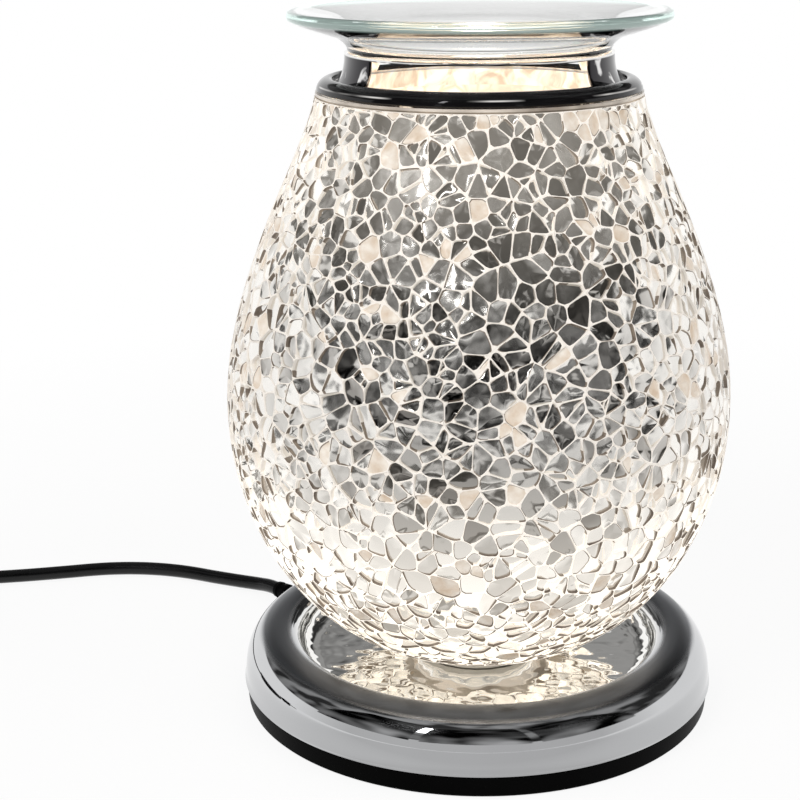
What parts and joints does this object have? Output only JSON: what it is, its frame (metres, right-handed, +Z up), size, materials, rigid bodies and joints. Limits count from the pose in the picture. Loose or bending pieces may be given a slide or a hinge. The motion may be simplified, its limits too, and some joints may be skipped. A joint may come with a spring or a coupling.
{
  "type": "electric aroma lamp",
  "caption": "Table lamp that warms scented oil: crackle mosaic egg-shaped glass shade on a round chrome base, with a clear glass dish held over it in a chrome gallery.",
  "frame": {"origin": "on the table, under the centre of the round base", "axes": "+Z up along the axis of the base, shade and dish; front towards -Y; the mains cord leaves at the back left, at 137 degrees from +X towards +Y"},
  "size_m": [0.3644, 0.1735, 0.2198],
  "materials": {
    "chrome": "mirror-bright chrome plating",
    "black_nickel": "dark nickel plating, polished",
    "black_plastic": "satin black moulding",
    "cord_black": "smooth soft black PVC",
    "rubber": "matt",
    "steel": "zinc plated",
    "brass": "plain turned",
    "ceramic": "unglazed white steatite",
    "white_plastic": "moulded",
    "clear_glass": "clear pressed glass with a faint green edge",
    "shade_glass": "blown glass, lit from inside",
    "mirror_mosaic": "crackled mirror glass set in pale grout",
    "lamp_glass": "clear lamp glass",
    "wire_brown": "sleeved wire",
    "wire_blue": "sleeved wire",
    "wire_yellow": "sleeved wire"
  },
  "bodies": {
    "base": {"base_ring": "black_plastic", "bottom_plate": "steel", "bottom_screw_1": "steel", "bottom_screw_2": "steel", "bottom_screw_3": "steel", "rubber_foot_1": "rubber", "rubber_foot_2": "rubber", "rubber_foot_3": "rubber", "rubber_foot_4": "rubber", "base_shell": "chrome", "stem_tube": "brass", "stem_washer": "steel", "stem_nut_lower": "brass", "stem_nut_middle": "brass", "stem_nut_upper": "brass", "shade_gasket": "rubber", "clamp_gasket": "rubber", "clamp_disc": "steel", "glass_shade": "shade_glass", "mosaic_skin": "mirror_mosaic", "holder_bracket": "steel", "holder_screw_1": "steel", "holder_screw_2": "steel", "lamp_holder": "ceramic", "terminal_block": "white_plastic", "touch_module": "black_plastic", "supply_tail": "cord_black", "wire_live": "wire_brown", "wire_neutral": "wire_blue", "touch_lead": "wire_yellow", "module_lead": "wire_brown", "strain_relief": "cord_black", "cord_lead": "cord_black", "cord_coil": "cord_black", "cord_end": "cord_black", "plug_body": "black_plastic", "plug_pin_1": "brass", "plug_pin_2": "brass"},
    "reflector_lamp": {"lamp_body": "ceramic", "lamp_lens": "lamp_glass", "lamp_capsule": "lamp_glass", "lamp_pin_1": "brass", "lamp_pin_2": "brass"},
    "gallery": {"bead_ring": "black_nickel", "gallery_collar": "chrome"},
    "dish": {"glass_dish": "clear_glass"}
  },
  "joints": [
    {"name": "gallery_lift", "type": "slide", "parent": "base", "child": "gallery", "axis": [0, 0, 1], "range_m": [0, 0.06]},
    {"name": "dish_lift", "type": "slide", "parent": "gallery", "child": "dish", "axis": [0, 0, 1], "range_m": [0, 0.04]},
    {"name": "lamp_twist", "type": "hinge", "parent": "base", "child": "reflector_lamp", "pos_m": [0, 0, 0.0634], "axis": [0, 0, 1], "range_deg": [0, 30]}
  ]
}
